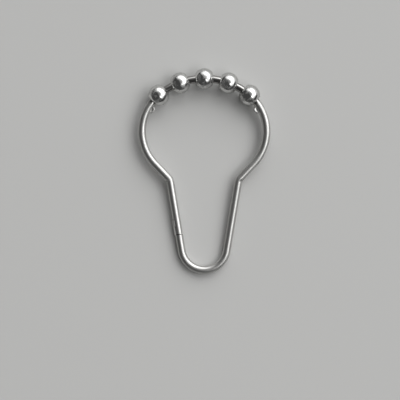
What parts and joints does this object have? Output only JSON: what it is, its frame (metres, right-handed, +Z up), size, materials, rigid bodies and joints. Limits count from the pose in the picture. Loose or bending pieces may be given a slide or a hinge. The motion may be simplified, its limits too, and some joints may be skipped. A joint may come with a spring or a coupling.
{
  "type": "curtain hook",
  "caption": "Pear-shaped curtain ring bent from one steel wire, with bored balls that roll along the rod, stop ears and a half-lap clasp in one leg.",
  "frame": {"origin": "middle of the footprint on the surface that the ring lies on", "axes": "+Y along the ring towards the balls, +X across it to the leg with no clasp, +Z up from the surface it lies on"},
  "size_m": [0.0444, 0.0689, 0.0072],
  "materials": {
    "wire": "drawn stainless wire, polished bright, with fine streaks along it",
    "ball": "mirror-polished steel with faint hairline scratches"
  },
  "bodies": {
    "ring": {"ring_wire": "wire"},
    "ball_1": {"roller_ball_1": "ball"},
    "ball_2": {"roller_ball_2": "ball"},
    "ball_3": {"roller_ball_3": "ball"},
    "ball_4": {"roller_ball_4": "ball"},
    "ball_5": {"roller_ball_5": "ball"}
  },
  "joints": [
    {"name": "ball_1_roll", "type": "hinge", "parent": "ring", "child": "ball_1", "pos_m": [-0.0152, 0.02544, 0.0035], "axis": [0.7673, 0.6409, 0.0241], "continuous": true},
    {"name": "ball_2_roll", "type": "hinge", "parent": "ring", "child": "ball_2", "pos_m": [-0.00808, 0.02953, 0.00365], "axis": [0.94, 0.3409, 0.0128], "continuous": true},
    {"name": "ball_3_roll", "type": "hinge", "parent": "ring", "child": "ball_3", "pos_m": [0, 0.03095, 0.00371], "axis": [1, 0, 0], "continuous": true},
    {"name": "ball_4_roll", "type": "hinge", "parent": "ring", "child": "ball_4", "pos_m": [0.00808, 0.02953, 0.00365], "axis": [0.94, -0.3409, -0.0128], "continuous": true},
    {"name": "ball_5_roll", "type": "hinge", "parent": "ring", "child": "ball_5", "pos_m": [0.0152, 0.02544, 0.0035], "axis": [0.7673, -0.6409, -0.0241], "continuous": true}
  ]
}
